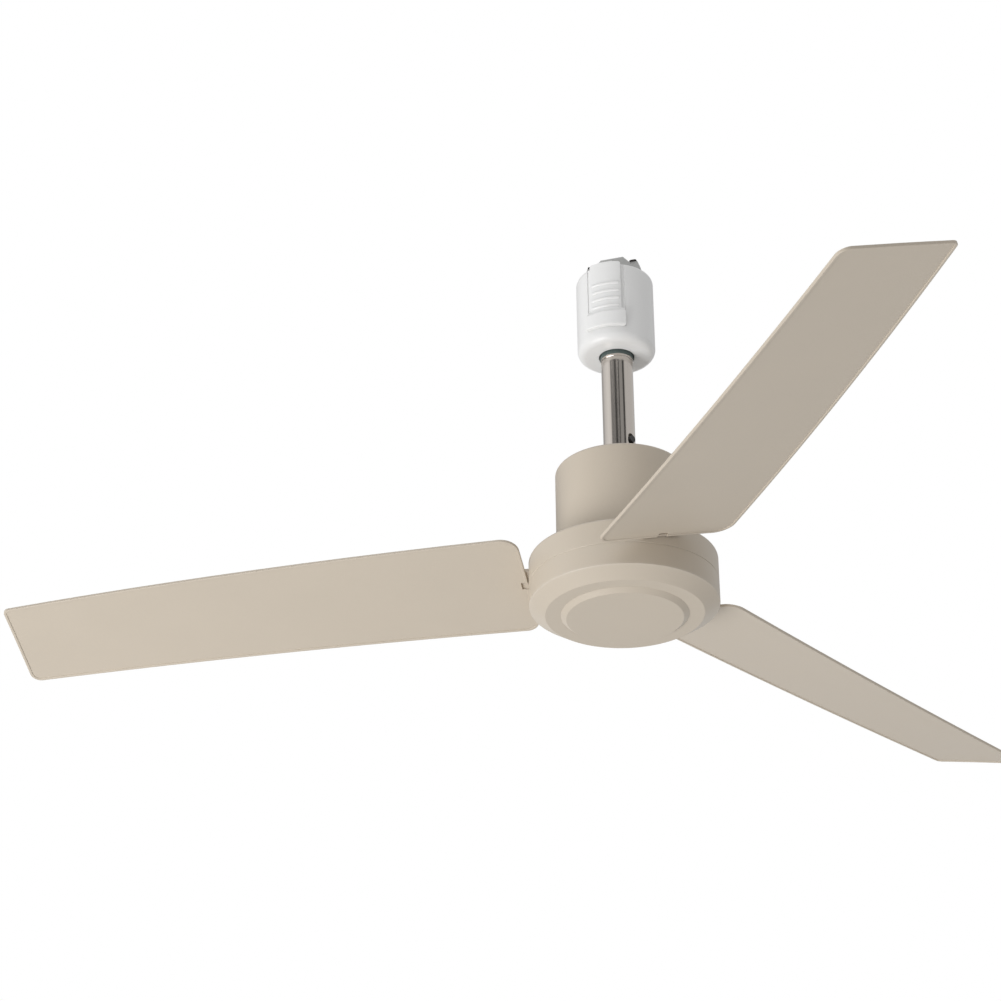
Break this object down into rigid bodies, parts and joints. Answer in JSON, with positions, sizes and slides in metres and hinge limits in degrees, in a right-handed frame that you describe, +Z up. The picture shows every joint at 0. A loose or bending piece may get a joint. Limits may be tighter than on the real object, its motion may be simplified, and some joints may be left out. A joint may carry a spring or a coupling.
{
  "type": "track-mounted ceiling fan",
  "caption": "Small ceiling fan that hangs from a lighting rail by a twist-lock plug and a short pipe, with a round motor housing and flat pitched blades.",
  "frame": {"origin": "on the fan's axis, in the plane where the plug's shoulder meets the underside of the lighting rail", "axes": "+Z up along the pipe and the rotor's axis, the rail runs along Y, the lock lever faces -Y"},
  "size_m": [0.696, 0.7615, 0.2767],
  "materials": {
    "white_plastic": "white moulded plastic, soft gloss",
    "head_plastic": "grey moulded plastic",
    "contact_metal": "dark oxidised contact metal",
    "spring_steel": "bright",
    "plated_steel": "zinc plated",
    "polished_steel": "polished stainless",
    "black_rubber": "matte",
    "black_steel": "black oxide",
    "greige_housing": "satin greige",
    "greige_blade": "satin greige moulded plastic",
    "greige_bracket": "satin greige",
    "screw_steel": "zinc plated",
    "board_green": "lacquered board",
    "can_metal": "sleeved",
    "choke_ferrite": "wound choke",
    "terminal_plastic": "matte",
    "lead_sleeve": "insulated lead",
    "shaft_steel": "ground",
    "bearing_steel": "ground",
    "core_steel": "laminated",
    "copper_wire": "enamelled copper",
    "magnet_ferrite": "sintered"
  },
  "bodies": {
    "frame": {"base_plate": "plated_steel", "bridge": "plated_steel", "canister": "greige_housing", "canister_screws": "screw_steel", "contact_blade_live": "contact_metal", "contact_blade_neutral": "contact_metal", "cross_bolt": "black_steel", "cross_nut": "black_steel", "down_pipe": "polished_steel", "driver_board": "board_green", "driver_capacitors": "can_metal", "driver_choke": "choke_ferrite", "hanger_strap": "spring_steel", "hanger_stub": "plated_steel", "head_screws": "screw_steel", "lever_spring": "spring_steel", "lower_bearing_cage": "bearing_steel", "lower_bearing_inner": "bearing_steel", "lower_pillars": "plated_steel", "mains_leads": "lead_sleeve", "motor_shaft": "shaft_steel", "pillar_screws": "screw_steel", "pipe_bush": "black_rubber", "pipe_collar": "polished_steel", "pipe_nut": "plated_steel", "plug_body": "white_plastic", "rail_head": "head_plastic", "shaft_circlip": "shaft_steel", "shaft_screws": "screw_steel", "stator_coils": "copper_wire", "stator_core": "core_steel", "terminal_block": "terminal_plastic", "upper_bearing_cage": "bearing_steel", "upper_bearing_inner": "bearing_steel", "upper_pillars": "plated_steel"},
    "rotor": {"blade_1": "greige_blade", "blade_2": "greige_blade", "blade_3": "greige_blade", "blade_holder_1": "greige_bracket", "blade_holder_2": "greige_bracket", "blade_holder_3": "greige_bracket", "centre_cap": "greige_housing", "foot_screws": "screw_steel", "lower_bearing_outer": "bearing_steel", "lower_shell": "greige_housing", "pad_screws": "screw_steel", "rotor_magnets": "magnet_ferrite", "rotor_ring": "plated_steel", "shell_screws": "screw_steel", "upper_bearing_outer": "bearing_steel", "upper_shell": "greige_housing", "yoke_screws": "screw_steel"},
    "lever": {"lock_lever": "white_plastic"}
  },
  "joints": [
    {"name": "rotor_spin", "type": "hinge", "parent": "frame", "child": "rotor", "pos_m": [0, 0, -0.235], "axis": [0, 0, 1], "continuous": true},
    {"name": "lock_lever_slide", "type": "slide", "parent": "frame", "child": "lever", "axis": [0, 0, -1], "range_m": [0, 0.005], "stiffness_N_per_m": 300, "springref_m": -0.002, "deforming": ["lever_spring"]}
  ]
}
